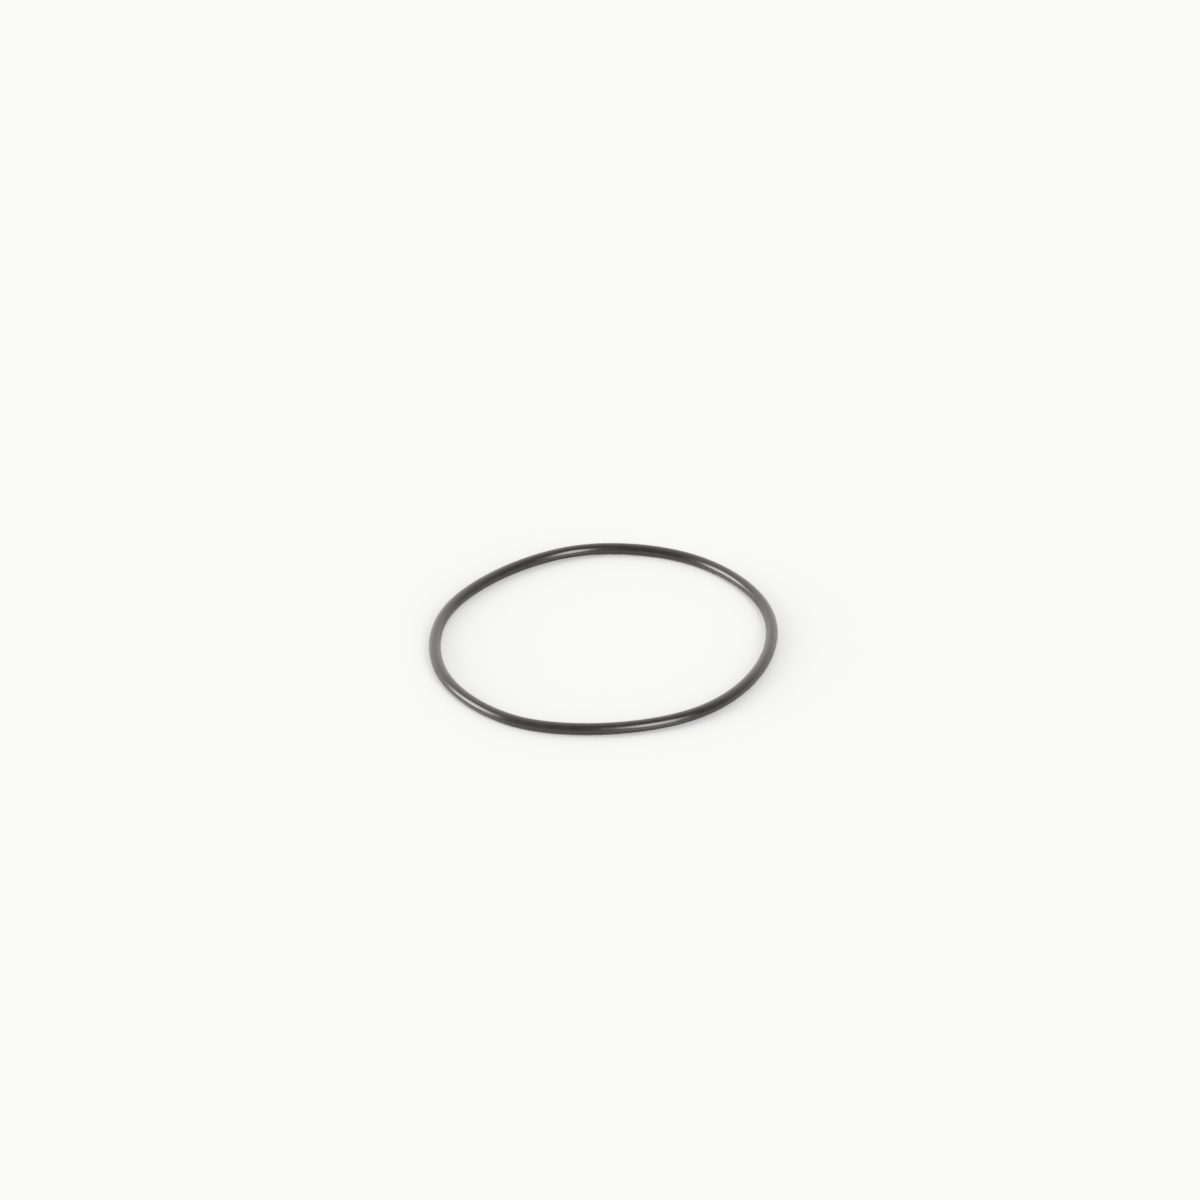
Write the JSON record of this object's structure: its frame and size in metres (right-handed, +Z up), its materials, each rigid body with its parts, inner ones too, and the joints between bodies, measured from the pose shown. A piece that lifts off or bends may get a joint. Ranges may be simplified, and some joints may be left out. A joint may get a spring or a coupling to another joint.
{
  "type": "rubber o-ring",
  "caption": "Slack black rubber sealing ring of round section, lying flat and slightly out of round.",
  "frame": {"origin": "middle of the ring, on the surface it lies on", "axes": "+Z up, through the hole; +X along the ring's long axis; +Y along its short axis"},
  "size_m": [0.1054, 0.0984, 0.0035],
  "materials": {
    "black_rubber": "satin as moulded, with a faint dry bloom"
  },
  "bodies": {
    "root": {"o_ring": "black_rubber"}
  },
  "joints": []
}
